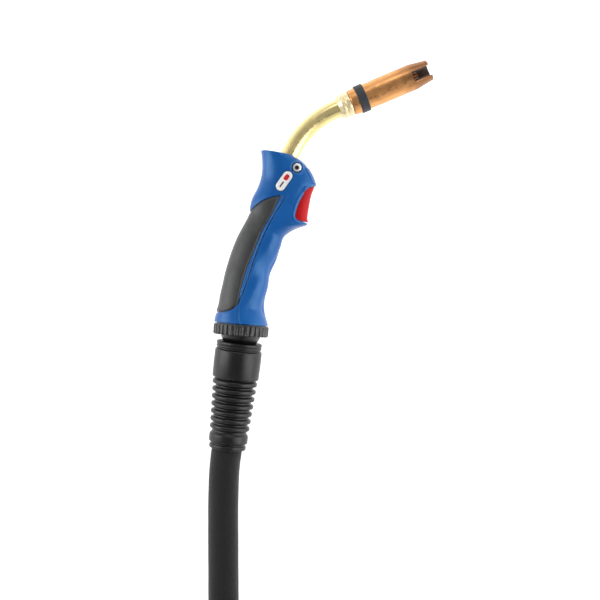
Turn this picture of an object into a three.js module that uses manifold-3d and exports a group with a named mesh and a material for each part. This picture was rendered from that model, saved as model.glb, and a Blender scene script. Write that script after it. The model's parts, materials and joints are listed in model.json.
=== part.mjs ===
// MIG welding torch lying on its side: pistol grip, swan neck, gas nozzle, ball joint,
// bend relief, coiled hose pack and central connector plug.  Millimetres, +Z up.
import * as THREE from 'three';
import { mergeVertices } from 'three/addons/utils/BufferGeometryUtils.js';
import Module from 'manifold-3d';

// ---------------------------------------------------------------- driving dimensions
const GAP = 0.3;
const PIVOT = new THREE.Vector3(-80, -74.2, 27.5);

const BALL_R = 20.5;
const BALL_ROOM_R = 21.3;
const SEAT_R = 22.5;
const SOCKET_R = 23.4;
const NUT_R = 27.5;
const NUT_H = 11;
const NUT_LEAN = 4.6;
const NUT_RIBS = 32;

const SIDES = 22;
const WALL = 4.5;
const INLAY_DEPTH = 1.8;
const TRIGGER_HALF = 13.5;
const TRIGGER_PRESS = 4;
const TRIGGER_PIVOT = [61.5, 140];
const HEAD_SCREW = [55.9, 161];

const NECK_R = 9;
const NECK_BEND_R = 90;
const NECK_START = [44.8, 164.3];
const NECK_ANGLE = 73;
const NOZZLE_ANGLE = 23;
const NECK_END = 14;
const COLLAR_FROM = 2.2;
const NOZZLE_FROM = 15.5;
const NOZZLE_LENGTH = 85.2;
const NOZZLE_R = 12.9;

const RELIEF_LEAN = 6.8;
const RELIEF_DROP = 4.1;
const RELIEF_FROM = 12.2;
const RELIEF_TO = 120;
const RELIEF_BORE = 16.6;
const RELIEF_RIBS = 7;
const RIB_PITCH = 7.5;
const STEM_R = 16;
const STEM_TO = 48.3;

const HOSE_R = 15.5;
const HOSE_X = -98;
const COIL = [68, -543];
const COIL_IN_R = 139.5;
const COIL_OUT_R = 170.5;
const COIL_FLOOR_Z = 17.2;
const EXIT_ANGLE = 3;
const TAIL_LENGTH = 66;
const PLUG_Z = 22.8;
const PLUG_BORE = 16.4;

// ---------------------------------------------------------------- materials
const BLUE = { color: 0x1f55a5, roughness: 0.4, metalness: 0 };
const SOFT_GREY = { color: 0x3a3c40, roughness: 0.9, metalness: 0 };
const RED = { color: 0xc4202b, roughness: 0.25, metalness: 0 };
const BLACK = { color: 0x1c1d1f, roughness: 0.55, metalness: 0 };
const RUBBER = { color: 0x202124, roughness: 0.8, metalness: 0 };
const SLEEVE = { color: 0x26282b, roughness: 0.95, metalness: 0 };
const WHITE = { color: 0xf0f0ee, roughness: 0.4, metalness: 0 };
const BRASS = { color: 0xcdb46a, roughness: 0.25, metalness: 1 };
const COPPER = { color: 0xb8683c, roughness: 0.3, metalness: 1 };
const STEEL = { color: 0xb9bcc0, roughness: 0.3, metalness: 1 };
const SLATE = { color: 0x33404c, roughness: 0.5, metalness: 0.3 };
const CERAMIC = { color: 0xd9d2c2, roughness: 0.7, metalness: 0 };

// ---------------------------------------------------------------- solids
const wasm = await Module();
wasm.setup();
const UP = new THREE.Vector3(0, 1, 0);
const torch = new THREE.Group();
torch.name = 'mig_welding_torch';

function rad(degrees) {
  return degrees * Math.PI / 180;
}

function signedVolume(geometry) {
  const p = geometry.attributes.position;
  const index = geometry.index;
  const corners = [new THREE.Vector3(), new THREE.Vector3(), new THREE.Vector3()];
  let volume = 0;
  for (let i = 0; i < index.count; i += 3) {
    corners.forEach((corner, k) => corner.fromBufferAttribute(p, index.getX(i + k)));
    volume += corners[0].dot(corners[1].clone().cross(corners[2])) / 6;
  }
  return volume;
}

function solid(source) {
  const bare = source.clone();
  bare.deleteAttribute('normal');
  bare.deleteAttribute('uv');
  const merged = mergeVertices(bare, 1e-4);
  const inward = signedVolume(merged) < 0;
  const index = Array.from(merged.index.array);
  const triVerts = new Uint32Array(inward ? index.reverse() : index);
  const vertProperties = new Float32Array(merged.attributes.position.array);
  return new wasm.Manifold(new wasm.Mesh({ numProp: 3, vertProperties, triVerts }));
}

function geometryOf(body) {
  const mesh = body.getMesh();
  const geometry = new THREE.BufferGeometry();
  geometry.setAttribute('position', new THREE.BufferAttribute(mesh.vertProperties, 3));
  geometry.setIndex(new THREE.BufferAttribute(mesh.triVerts, 1));
  return geometry;
}

function add(name, body, finish, atPivot = true) {
  const geometry = geometryOf(body);
  if (atPivot) geometry.translate(PIVOT.x, PIVOT.y, PIVOT.z);
  geometry.computeVertexNormals();
  const mesh = new THREE.Mesh(geometry, new THREE.MeshStandardMaterial(finish));
  mesh.name = name;
  torch.add(mesh);
}

function placed(geometry, origin, direction) {
  const turn = new THREE.Quaternion().setFromUnitVectors(UP, direction.clone().normalize());
  return geometry.applyQuaternion(turn).translate(origin.x, origin.y, origin.z);
}

// A closed profile of [radius, height] pairs turned about the line from origin along direction.
function turned(profile, origin, direction, sides = 16) {
  const points = profile.map(([r, h]) => new THREE.Vector2(r, h));
  points.push(points[0].clone());
  return solid(placed(new THREE.LatheGeometry(points, sides), origin, direction));
}

function ring(inner, outer, from, to, origin, direction, sides = 16) {
  return turned([[inner, from], [outer, from], [outer, to], [inner, to]], origin, direction, sides);
}

function rod(radius, from, to, origin, direction, sides = 16) {
  const points = [[0, from], [radius, from], [radius, to], [0, to]];
  const profile = points.map(([r, h]) => new THREE.Vector2(r, h));
  return solid(placed(new THREE.LatheGeometry(profile, sides), origin, direction));
}

function ball(radius, sides = 24) {
  return solid(new THREE.SphereGeometry(radius, sides, sides / 2));
}

function box(size, centre, angle = 0) {
  const geometry = new THREE.BoxGeometry(...size).rotateZ(rad(angle));
  return solid(geometry.translate(...centre));
}

function prism(outline, from, to) {
  const shape = new THREE.Shape(outline.map(([x, y]) => new THREE.Vector2(x, y)));
  const options = { depth: to - from, bevelEnabled: false };
  return solid(new THREE.ExtrudeGeometry(shape, options).translate(0, 0, from));
}

function circle(radius, sides) {
  const corners = Array.from({ length: sides }, (_, i) => rad(360 * i / sides));
  return corners.map((a) => new THREE.Vector2(radius * Math.cos(a), radius * Math.sin(a)));
}

function swept(path, radius, sides, steps) {
  const shape = new THREE.Shape(circle(radius, sides));
  return solid(new THREE.ExtrudeGeometry(shape, { steps, extrudePath: path, bevelEnabled: false }));
}

function spline(points) {
  return new THREE.CatmullRomCurve3(points.map((p) => new THREE.Vector3(...p)), false, 'centripetal');
}

// Moves every corner of a polygon outwards (anticlockwise outline) by a distance.
function grown(outline, distance) {
  return outline.map(([x, y], i) => {
    const [px, py] = outline[(i + outline.length - 1) % outline.length];
    const [nx, ny] = outline[(i + 1) % outline.length];
    const before = new THREE.Vector2(y - py, px - x).normalize();
    const after = new THREE.Vector2(ny - y, x - nx).normalize();
    const out = before.add(after).normalize();
    return [x + out.x * distance, y + out.y * distance];
  });
}

// Skin through rings with equal numbers of points, closed by a fan at each end.
function loft(rings) {
  const sides = rings[0].length;
  const positions = rings.flat();
  const faces = [];
  for (let i = 0; i + 1 < rings.length; i++) {
    for (let k = 0; k < sides; k++) {
      const a = i * sides + k;
      const b = i * sides + (k + 1) % sides;
      faces.push(a, b, b + sides, a, b + sides, a + sides);
    }
  }
  const last = (rings.length - 1) * sides;
  const ends = [rings[0], rings[rings.length - 1]];
  ends.forEach((end) => positions.push(
    end.reduce((sum, p) => sum.add(p), new THREE.Vector3()).divideScalar(sides)));
  const first = positions.length - 2;
  for (let k = 0; k < sides; k++) {
    faces.push(first, (k + 1) % sides, k, first + 1, last + k, last + (k + 1) % sides);
  }
  const geometry = new THREE.BufferGeometry().setFromPoints(positions);
  geometry.setIndex(faces);
  return solid(geometry);
}

// ---------------------------------------------------------------- handle form
// Each station: back edge, front edge, half thickness and squareness of the section.
const STATIONS = [
  [[-27.0, 8.6], [27.2, 4.2], 26.6, 2.0],
  [[-24.6, 18], [24.0, 16], 24.2, 2.1],
  [[-22.2, 26], [23.1, 25], 22.4, 2.15],
  [[-20.4, 36], [25.0, 36], 21.2, 2.2],
  [[-18.1, 46], [27.3, 46], 20.6, 2.3],
  [[-15.4, 58], [29.4, 57], 20.2, 2.3],
  [[-11.9, 70], [35.3, 70], 20.0, 2.3],
  [[-7.8, 82], [39.0, 82], 19.8, 2.3],
  [[-3.0, 93.5], [43.0, 93], 19.6, 2.3],
  [[1.0, 101], [54.0, 100.6], 19.6, 2.35],
  [[4.0, 106.5], [66.3, 105.4], 19.6, 2.4],
  [[8.2, 115], [66.9, 113], 19.6, 2.4],
  [[9.2, 124], [68.6, 124], 19.6, 2.4],
  [[11.4, 132], [70.6, 134], 19.6, 2.4],
  [[16.6, 142], [74.0, 143], 19.6, 2.5],
  [[19.4, 150], [74.4, 146.6], 19.6, 2.5],
  [[21.0, 158], [70.6, 156], 19.5, 2.5],
  [[21.2, 166], [64.6, 165], 19.2, 2.5],
  [[20.7, 173], [59.0, 170], 18.8, 2.5],
  [[20.0, 178.6], [54.0, 172.4], 18.4, 2.5],
];

function between(a, b, c, d, t) {
  const slope = 0.5 * (c - a);
  const next = 0.5 * (d - b);
  const t2 = t * t;
  const t3 = t2 * t;
  return (2 * t3 - 3 * t2 + 1) * b + (t3 - 2 * t2 + t) * slope
    + (3 * t2 - 2 * t3) * c + (t3 - t2) * next;
}

function station(at) {
  const last = STATIONS.length - 1;
  const i = Math.min(Math.floor(at), last - 1);
  const near = [i - 1, i, i + 1, i + 2].map((k) => STATIONS[Math.min(Math.max(k, 0), last)].flat());
  return near[1].map((_, k) => between(near[0][k], near[1][k], near[2][k], near[3][k], at - i));
}

function section(at, inset, sides, shrink = 1, lift = 0) {
  const [bx, by, fx, fy, thickness, power] = station(at);
  const half = new THREE.Vector3(fx - bx, fy - by, 0).multiplyScalar(0.5);
  const width = (half.length() - inset) * shrink;
  const depth = (thickness - inset) * shrink;
  const across = half.clone().normalize();
  const up = new THREE.Vector3(-across.y, across.x, 0);
  const centre = new THREE.Vector3(bx, by, 0).add(half).addScaledVector(up, lift);
  return Array.from({ length: sides }, (_, k) => {
    const c = Math.cos(rad(360 * (k + 0.5) / sides));
    const s = Math.sin(rad(360 * (k + 0.5) / sides));
    const u = Math.sign(c) * Math.abs(c) ** (2 / power) * width;
    const v = Math.sign(s) * Math.abs(s) ** (2 / power) * depth;
    return centre.clone().addScaledVector(across, u).setZ(v);
  });
}

function handleForm(inset, from, to, per, sides) {
  const count = Math.round((to - from) * per);
  const rings = Array.from({ length: count + 1 }, (_, i) => (
    section(from + (to - from) * i / count, inset, sides)));
  if (!inset) rings.push(section(to, 0, sides, 0.93, 1.2), section(to, 0, sides, 0.7, 1.8));
  return loft(rings);
}

const INLAY = [
  [39.4, 133.2], [30, 131], [19, 126.2], [8, 117], [-45, 117], [-45, 17], [-21.6, 18.1],
  [-10.4, 20.2], [-4.8, 23.7], [-2, 28], [-0.6, 36], [2.9, 49.7], [7.4, 64], [13.4, 78.5],
  [21.8, 98.8], [32.4, 117.5],
];
const CRESCENT = [
  [90, 143.2], [73.6, 143.2], [70, 141.6], [65.3, 138.1], [59.7, 129.7], [56.2, 121.2],
  [54.4, 114.2], [55, 111.2], [57.2, 109.4], [66, 107.1], [90, 101],
];
const TRIGGER = [
  [90, 142.3], [72.2, 142.3], [67.5, 141.2], [62, 144.4], [58, 142], [58.4, 137.1],
  [49.9, 109.6], [52.4, 108.6], [90, 108.6],
];

// ---------------------------------------------------------------- neck and nozzle lines
const neckOrigin = new THREE.Vector3(...NECK_START, 0);
const neckAxis = new THREE.Vector3(Math.cos(rad(NECK_ANGLE)), Math.sin(rad(NECK_ANGLE)), 0);
const neckRight = new THREE.Vector3(neckAxis.y, -neckAxis.x, 0);
const bendCentre = neckOrigin.clone().addScaledVector(neckRight, NECK_BEND_R);
const nozzleAxis = new THREE.Vector3(Math.cos(rad(NOZZLE_ANGLE)), Math.sin(rad(NOZZLE_ANGLE)), 0);
const nozzleOrigin = bendCentre.clone().add(
  new THREE.Vector3(-nozzleAxis.y, nozzleAxis.x, 0).multiplyScalar(NECK_BEND_R));

// Rings square to the neck line, from a distance before the bend to a distance past it.
function neckRings(radius, sides, from, to) {
  const stops = [[NECK_ANGLE, from]];
  for (let i = 0; i <= 8; i++) stops.push([NECK_ANGLE + (NOZZLE_ANGLE - NECK_ANGLE) * i / 8, 0]);
  stops.push([NOZZLE_ANGLE, to]);
  return stops.map(([angle, past]) => {
    const ahead = new THREE.Vector3(Math.cos(rad(angle)), Math.sin(rad(angle)), 0);
    const spoke = new THREE.Vector3(-ahead.y, ahead.x, 0);
    const middle = bendCentre.clone().addScaledVector(spoke, NECK_BEND_R)
      .addScaledVector(ahead, past);
    return circle(radius, sides).map((p) => (
      middle.clone().addScaledVector(spoke, p.x).setZ(p.y)));
  });
}

function neckTube(radius, sides, from, to) {
  return loft(neckRings(radius, sides, from, to));
}

function besideNeck(along, right, z = 0) {
  const point = neckOrigin.clone().addScaledVector(neckAxis, along);
  return point.addScaledVector(neckRight, right).setZ(z);
}

// ---------------------------------------------------------------- handle shells and grip
const trigger = prism(TRIGGER, -TRIGGER_HALF, TRIGGER_HALF);
const pin = new THREE.Vector3(...TRIGGER_PIVOT, 0);
const zAxis = new THREE.Vector3(0, 0, 1);

function triggerRoom() {
  const outline = grown(TRIGGER, 0.6);
  const half = TRIGGER_HALF + 0.5;
  const pressed = outline.map(([x, y]) => {
    const turnedBack = new THREE.Vector2(x, y).rotateAround(
      new THREE.Vector2(...TRIGGER_PIVOT), rad(-TRIGGER_PRESS));
    return [turnedBack.x, turnedBack.y];
  });
  return prism(outline, -half, half).add(prism(pressed, -half, half));
}

const form = handleForm(0, 0, 19, 1, SIDES);
const cavity = handleForm(WALL, 1, 18, 1, 12);
const boss = rod(4.2, -17, 17, new THREE.Vector3(...HEAD_SCREW, 0), zAxis, 12);
const pinBoss = rod(3.4, -17, 17, pin, zAxis, 12);
const screwRoom = rod(2.3, -40, 40, new THREE.Vector3(...HEAD_SCREW, 0), zAxis, 12)
  .add(rod(5.3, 13, 40, new THREE.Vector3(...HEAD_SCREW, 0), zAxis, 20))
  .add(rod(5.3, -40, -12.2, new THREE.Vector3(...HEAD_SCREW, 0), zAxis, 20));
const pinRoom = rod(1.8, -16.5, 16.5, pin, zAxis, 12);
const inlaySkin = form.subtract(handleForm(INLAY_DEPTH, 0, 19, 1, SIDES));
const inlayBed = form.subtract(handleForm(INLAY_DEPTH + GAP, 0, 19, 1, SIDES));
const badgeTurn = 55;
const badgeCentre = [43.3, 147.5];

function pill(length, width, from, to) {
  const half = (length - width) / 2;
  const ends = Array.from({ length: 9 }, (_, i) => rad(-90 + 22.5 * i));
  const right = ends.map((a) => [half + width / 2 * Math.cos(a), width / 2 * Math.sin(a)]);
  const left = right.map(([x, y]) => [-x, -y]);
  const body = prism([...right, ...left], from, to);
  return body.rotate([0, 0, badgeTurn]).translate([...badgeCentre, 0]);
}

const nutAxis = new THREE.Vector3(Math.sin(rad(NUT_LEAN)), Math.cos(rad(NUT_LEAN)), 0);
const centre = new THREE.Vector3();
const spigot = rod(25, 0.5, 9, centre, nutAxis, 24);
const belowHandle = rod(60, -60, NUT_H / 2 + GAP, centre, nutAxis, 4);

const shell = form.subtract(belowHandle).add(spigot)
  .subtract(cavity)
  .add(boss.add(pinBoss).intersect(form))
  .subtract(ball(SOCKET_R))
  .subtract(neckTube(NECK_R + 0.4, 16, -80, 30))
  .subtract(prism(CRESCENT, -40, 40))
  .subtract(triggerRoom())
  .subtract(prism(grown(INLAY, GAP), -40, 40).intersect(inlayBed))
  .subtract(screwRoom)
  .subtract(pinRoom)
  .subtract(pill(22.2, 10, 18.4, 40));
const inlay = prism(INLAY, -40, 40).intersect(inlaySkin);
const rightSide = box([400, 400, 60], [0, 100, 30 + GAP / 2]);
const leftSide = box([400, 400, 60], [0, 100, -30 - GAP / 2]);

add('handle_shell_right', shell.intersect(rightSide), BLUE);
add('handle_shell_left', shell.intersect(leftSide), BLUE);
add('grip_inlay_right', inlay.intersect(rightSide), SOFT_GREY);
add('grip_inlay_left', inlay.intersect(leftSide), SOFT_GREY);
add('name_badge', pill(21.6, 9.4, 18.7, 20.2), WHITE);

// ---------------------------------------------------------------- head screw
const screwLine = new THREE.Vector3(...HEAD_SCREW, 0);
const screwHead = rod(4.55, 13.3, 16.4, screwLine, zAxis, 20);
const screwRecess = rod(2.3, 14.6, 20, screwLine, zAxis, 6);
add('head_screw', rod(1.9, -15.2, 13.3, screwLine, zAxis, 12).add(screwHead)
  .subtract(screwRecess), STEEL);
add('head_screw_nut', ring(2.2, 4.4, -15.6, -12.5, screwLine, zAxis, 6), STEEL);

// ---------------------------------------------------------------- trigger and switch
const fingerForm = handleForm(0.4, 8, 17, 1, SIDES);
add('trigger', trigger.intersect(fingerForm).subtract(rod(1.8, -20, 20, pin, zAxis, 12))
  .subtract(box([9, 40, 2 * TRIGGER_HALF - 7], [52.4, 120, 0], -17)), RED);
add('trigger_pin', rod(1.5, -16.2, 16.2, pin, zAxis, 12), STEEL);

const switchFrom = 12.9;
const switchTo = 18.7;
const switchMid = (switchFrom + switchTo) / 2;
const plungerWay = rod(1.9, switchTo - 2.2, switchTo + 5, besideNeck(-43, 0), neckRight, 12);
add('switch_body', box([switchTo - switchFrom, 18, 6.4],
  besideNeck(-43, switchMid).toArray(), NECK_ANGLE - 90).subtract(plungerWay), BLACK);
const plungerEnd = switchTo + 5.6;
add('switch_plunger', rod(1.6, switchTo + GAP, plungerEnd, besideNeck(-43, 0), neckRight, 12), RED);

[-1.8, 1.8].forEach((z, i) => {
  const top = besideNeck(-52.6, switchMid, z);
  const bend = besideNeck(-66, 13.2, z);
  const path = spline([top.toArray(), bend.toArray(), [31, 82, z], [23, 62, z], [17, 40, z],
    [12.5, 23, z]]);
  add(`switch_lead_${i + 1}`, swept(path, 0.9, 5, 9), BLACK);
});

// ---------------------------------------------------------------- swan neck
const socketFrom = -74;
const socketTo = -52;
add('neck_tube', neckTube(NECK_R, 16, -63.5, NECK_END)
  .subtract(neckTube(7.2, 12, -70, 30)), BRASS);
add('neck_core_tube', neckTube(5, 10, -62, NECK_END + 2)
  .subtract(neckTube(2.8, 8, -70, 30)), COPPER);
add('wire_liner', neckTube(2.2, 6, -62, 40).subtract(neckTube(1.1, 6, -70, 60)), STEEL);
add('neck_socket', rod(11, socketFrom, socketTo, neckOrigin, neckAxis)
  .subtract(rod(NECK_R + GAP, -63.8, socketTo + 1, neckOrigin, neckAxis)), BRASS);
add('neck_sleeve', ring(NECK_R + GAP, 11, -44, -8, neckOrigin, neckAxis, 20)
  .subtract(prism(grown(TRIGGER, 0.8), -20, 20)), BLACK);

const coreTop = besideNeck(socketFrom - GAP, 0);
const coreLine = spline([coreTop.toArray(), [20, 82, 0], [13, 62, 0], [6.5, 40, 0], [2, 22, 0],
  [1, 12, 0]]);
add('power_cable', swept(coreLine, 8, 10, 8), RUBBER);

add('neck_end_collar', turned([
  [NECK_R + GAP, COLLAR_FROM], [10.2, COLLAR_FROM], [12.0, 5.6], [12.3, 6.2], [12.3, 8.2],
  [11.2, 8.8], [11.2, 10], [12.3, 10.6], [12.3, 13.4], [11.9, 15.2], [NECK_R + GAP, 15.2],
], nozzleOrigin, nozzleAxis, 20), BRASS);

// ---------------------------------------------------------------- nozzle assembly
const along = (s) => NOZZLE_FROM + s;
add('nozzle_insulator', turned([
  [7.4, along(0.6)], [9.6, along(0.6)], [9.6, along(17)], [7.4, along(17)],
], nozzleOrigin, nozzleAxis, 20), BLACK);
add('tip_holder', turned([
  [2.5, along(1.2)], [7, along(1.2)], [7, along(19)], [5.6, along(21)], [5.6, along(34)],
  [4.4, along(36)], [4.4, along(38)], [2.5, along(38)],
], nozzleOrigin, nozzleAxis, 16), BRASS);
add('gas_diffuser', turned([
  [5.9, along(22)], [8.6, along(22)], [9, along(24)], [9, along(33)], [7.4, along(36)],
  [5.9, along(36)],
], nozzleOrigin, nozzleAxis, 16), CERAMIC);
add('contact_tip', turned([
  [0.9, along(38.3)], [4.9, along(38.3)], [4.9, along(61)], [2.9, along(72)], [0.9, along(72)],
], nozzleOrigin, nozzleAxis, 16), COPPER);

const nozzleTip = along(NOZZLE_LENGTH);
const slotCut = [0, 120, 240].map((turn) => {
  const cut = box([17.6, 10.2, 14], [nozzleTip - 8.3, 0, 14]);
  return cut.rotate([turn, 0, 0]).rotate([0, 0, NOZZLE_ANGLE]).translate(nozzleOrigin.toArray());
});
const nozzleForm = turned([
  [9.9, along(0)], [12.4, along(0)], [NOZZLE_R, along(1)], [NOZZLE_R, along(24)],
  [13.2, along(28)], [13.2, along(67)], [12.6, along(71)], [10.9, along(82)],
  [10.6, nozzleTip], [8.3, nozzleTip], [8.6, along(74)], [10.1, along(66)], [10.1, along(20)],
], nozzleOrigin, nozzleAxis, 24);
add('gas_nozzle', slotCut.reduce((body, cut) => body.subtract(cut), nozzleForm), COPPER);
add('nozzle_band', ring(NOZZLE_R + GAP, 14.25, along(7.4), along(16.2), nozzleOrigin,
  nozzleAxis, 24), SLATE);

// ---------------------------------------------------------------- ball joint
function ribbedRing() {
  const rib = rad(360 / NUT_RIBS);
  const steps = [[0, 26.4], [0.25, NUT_R], [0.5, NUT_R], [0.75, 26.4]];
  const outline = Array.from({ length: NUT_RIBS }, (_, i) => steps.map(([part, radius]) => {
    const angle = rib * (i + part);
    return [radius * Math.cos(angle), radius * Math.sin(angle)];
  })).flat();
  return prism(outline, -NUT_H / 2, NUT_H / 2).rotate([-90, 0, 0]);
}

const nutBore = rod(25.3, 0.2, 9, centre, UP, 24);
const nutLip = ball(SOCKET_R).intersect(rod(40, -4.8, 20, centre, UP, 8));
add('collar_nut', ribbedRing().subtract(nutBore).subtract(nutLip).subtract(ball(BALL_ROOM_R))
  .rotate([0, 0, -NUT_LEAN]), BLACK);
add('ball_seat', ball(SEAT_R).subtract(ball(BALL_ROOM_R))
  .intersect(rod(40, 1, 9, centre, nutAxis, 8)), BLACK);

const lean = rad(RELIEF_LEAN);
const drop = rad(RELIEF_DROP);
const hoseDown = new THREE.Vector3(-Math.sin(lean) * Math.cos(drop),
  -Math.cos(lean) * Math.cos(drop), -Math.sin(drop));
const throat = turned([
  [0, -30], [13.9, -30], [13.9, -14.9], [10.4, -4], [9.3, -2], [9.3, 60], [0, 60],
], centre, hoseDown, 20);
add('ball_stem', ball(BALL_R).add(rod(STEM_R, 0, STEM_TO, centre, hoseDown, 18))
  .subtract(throat), BLACK);
add('hose_core', rod(9, -2.6, STEM_TO, centre, hoseDown, 12), RUBBER);

// ---------------------------------------------------------------- bend relief
function reliefProfile() {
  const outside = [[22.6, RELIEF_FROM], [22.6, 16.4], [21.2, 17], [21.2, 19.4], [23.4, 20.2],
    [23.4, 48.4], [19.5, 49.6]];
  for (let i = 0; i < RELIEF_RIBS; i++) {
    const middle = 53.7 + RIB_PITCH * i;
    const crest = 22.2 - 0.4 * i;
    const valley = 19.2 - 0.25 * (i + 1);
    outside.push([crest, middle - 1.7], [crest, middle + 1.3], [valley, middle + 2.6],
      [valley, middle + 4.6]);
  }
  outside.push([19.4, 106], [19.4, 113.6], [17.2, 114.4], [17.2, 115.8], [18.4, 116.4],
    [18.4, RELIEF_TO]);
  return [...outside, [RELIEF_BORE, RELIEF_TO], [RELIEF_BORE, RELIEF_FROM + 1.6], [17.6, RELIEF_FROM]];
}

add('bend_relief', turned(reliefProfile(), centre, hoseDown, 16), RUBBER);

// ---------------------------------------------------------------- hose pack
function onHose(t) {
  return PIVOT.clone().addScaledVector(hoseDown, t);
}

const coilMid = (COIL_IN_R + COIL_OUT_R) / 2;
const coilCentre = new THREE.Vector3(...COIL, 0);
const ringIn = COIL_IN_R - HOSE_R - 0.4;
const ringOut = COIL_OUT_R + HOSE_R + 0.6;

const coilRing = turned([
  [ringIn, 4], [ringIn + 3, 2], [ringOut - 3, 2], [ringOut, 4], [ringOut, 58], [ringOut - 3, 60],
  [ringIn + 3, 60], [ringIn, 58],
], coilCentre, zAxis, 36);

const runLine = spline([
  onHose(STEM_TO + 2 * GAP).toArray(), onHose(84).toArray(), onHose(RELIEF_TO).toArray(),
  [-97.2, -216, 17], [HOSE_X, -245, 15.9], [HOSE_X - 0.4, -290, 15.7], [HOSE_X, -335, 16],
  [HOSE_X + 0.4, -365, 19], [HOSE_X + 1.4, -390, 26], [HOSE_X + 3, -415, 37],
  [HOSE_X + 4.6, -440, 45], [HOSE_X + 6, -465, 48],
]);
add('hose_run', swept(runLine, HOSE_R, 10, 22)
  .subtract(rod(ringOut + GAP, -10, 90, coilCentre, zAxis, 36)), SLEEVE, false);

function tie(angle) {
  const outer = box([67, 20, 61.6], [coilMid + 0.1, 0, 31]);
  const inner = box([64.6, 30, 58.6], [coilMid + 0.1, 0, 31]);
  return outer.subtract(inner).rotate([0, 0, angle]).translate(coilCentre.toArray());
}

add('coil_tie_1', tie(215), BLACK, false);
add('coil_tie_2', tie(325), BLACK, false);

const exit = rad(EXIT_ANGLE);
const leaving = new THREE.Vector3(-Math.sin(exit), Math.cos(exit), 0);
const tailStart = coilCentre.clone().add(
  new THREE.Vector3(Math.cos(exit), Math.sin(exit), 0).multiplyScalar(COIL_OUT_R))
  .setZ(COIL_FLOOR_Z);
const plugOrigin = tailStart.clone().addScaledVector(leaving, TAIL_LENGTH).setZ(PLUG_Z);

function onPlug(p) {
  return plugOrigin.clone().addScaledVector(leaving, p);
}

const tailFrom = 21;
const tailLine = spline([
  tailStart.clone().addScaledVector(leaving, tailFrom).setZ(18.8).toArray(),
  tailStart.clone().addScaledVector(leaving, tailFrom + 6).setZ(18.8).toArray(),
  tailStart.clone().addScaledVector(leaving, 46).setZ(21.4).toArray(),
  onPlug(0).toArray(), onPlug(20).toArray(), onPlug(37.7).toArray(),
]);
const tailRoom = rod(24.6, tailFrom - GAP, 200, tailStart.clone().setZ(PLUG_Z), leaving);
add('hose_coil', coilRing.subtract(tailRoom), SLEEVE, false);
add('hose_tail', swept(tailLine, HOSE_R, 10, 8), SLEEVE, false);

// ---------------------------------------------------------------- connector plug
function plugTurned(profile, sides = 16) {
  return turned(profile, plugOrigin, leaving, sides);
}

add('plug_relief', plugTurned([
  [PLUG_BORE, 0], [17.8, 0], [18, 4], [19.2, 24], [20.2, 38], [PLUG_BORE, 38],
]), RUBBER, false);
add('plug_housing', plugTurned([
  [4, 38.3], [21, 38.3], [21.4, 42], [20.4, 48], [20.4, 58], [21.6, 66], [21.6, 70],
  [4, 70],
]), BLACK, false);
add('plug_nut', plugTurned([
  [16.3, 70.6], [21.4, 70.6], [22.5, 72], [22.5, 90.6], [21.8, 92], [19, 92], [19, 74],
  [16.3, 74],
], 24), BLACK, false);
const pinAt = 12.4;
const pinSides = [-1, 1];
const pinRooms = pinSides.map((side) => rod(2.3, 70, 90,
  plugOrigin.clone().add(new THREE.Vector3(0, 0, side * pinAt)), leaving, 8));
add('plug_insulator', plugTurned([
  [9.3, 70.3], [15.9, 70.3], [15.9, 74.4], [18.6, 74.4], [18.6, 78], [15.7, 78], [15.7, 86],
  [9.3, 86],
]).subtract(pinRooms[0]).subtract(pinRooms[1]), BLACK, false);
add('plug_block', plugTurned([
  [2.5, 70.3], [9, 70.3], [9, 98], [7.4, 100], [2.5, 100],
]), BRASS, false);
add('plug_gas_nipple', plugTurned([
  [1.6, 100.3], [5.2, 100.3], [5.2, 106], [4.2, 106.6], [4.2, 108.4], [5.2, 109], [5, 112],
  [3.6, 116], [1.6, 116],
], 12), BRASS, false);
add('plug_o_ring', plugTurned([
  [4.5, 106.8], [5.5, 106.8], [5.5, 108.2], [4.5, 108.2],
], 12), RUBBER, false);
pinSides.forEach((side, i) => {
  const line = plugOrigin.clone().add(new THREE.Vector3(0, 0, side * pinAt));
  const tip = rod(2, 75, 92, line, leaving, 8).add(rod(1.5, 92, 94, line, leaving, 8));
  add(`plug_pin_${i + 1}`, tip, BRASS, false);
});

export default torch;
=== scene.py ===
"""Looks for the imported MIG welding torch: camera, cord, every visible piece, materials, light."""

import json
import math

import bpy
import numpy as np
from mathutils import Matrix, Vector


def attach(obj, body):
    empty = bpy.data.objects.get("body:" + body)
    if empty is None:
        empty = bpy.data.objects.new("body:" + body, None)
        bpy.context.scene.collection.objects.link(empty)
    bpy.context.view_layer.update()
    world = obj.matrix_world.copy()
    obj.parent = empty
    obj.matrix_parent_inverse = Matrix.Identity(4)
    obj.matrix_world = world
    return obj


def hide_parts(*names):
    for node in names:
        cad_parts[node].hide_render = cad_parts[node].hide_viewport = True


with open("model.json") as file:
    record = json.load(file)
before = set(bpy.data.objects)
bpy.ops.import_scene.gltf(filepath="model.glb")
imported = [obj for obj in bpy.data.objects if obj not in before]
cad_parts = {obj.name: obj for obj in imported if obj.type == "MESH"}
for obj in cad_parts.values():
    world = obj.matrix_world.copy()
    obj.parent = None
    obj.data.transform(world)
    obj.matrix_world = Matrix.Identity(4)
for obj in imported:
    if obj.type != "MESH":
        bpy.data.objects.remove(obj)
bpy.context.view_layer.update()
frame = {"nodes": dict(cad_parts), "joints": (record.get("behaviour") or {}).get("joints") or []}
PIVOT = np.array(next(j["pos_m"] for j in frame["joints"] if j["name"] == "handle_swing"))
MM = 0.001
GAP = 0.3
UP = (0, 0, 1)
CAMERA_FROM_PIVOT = (0.0590, 0.0300, 1.5)

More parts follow.
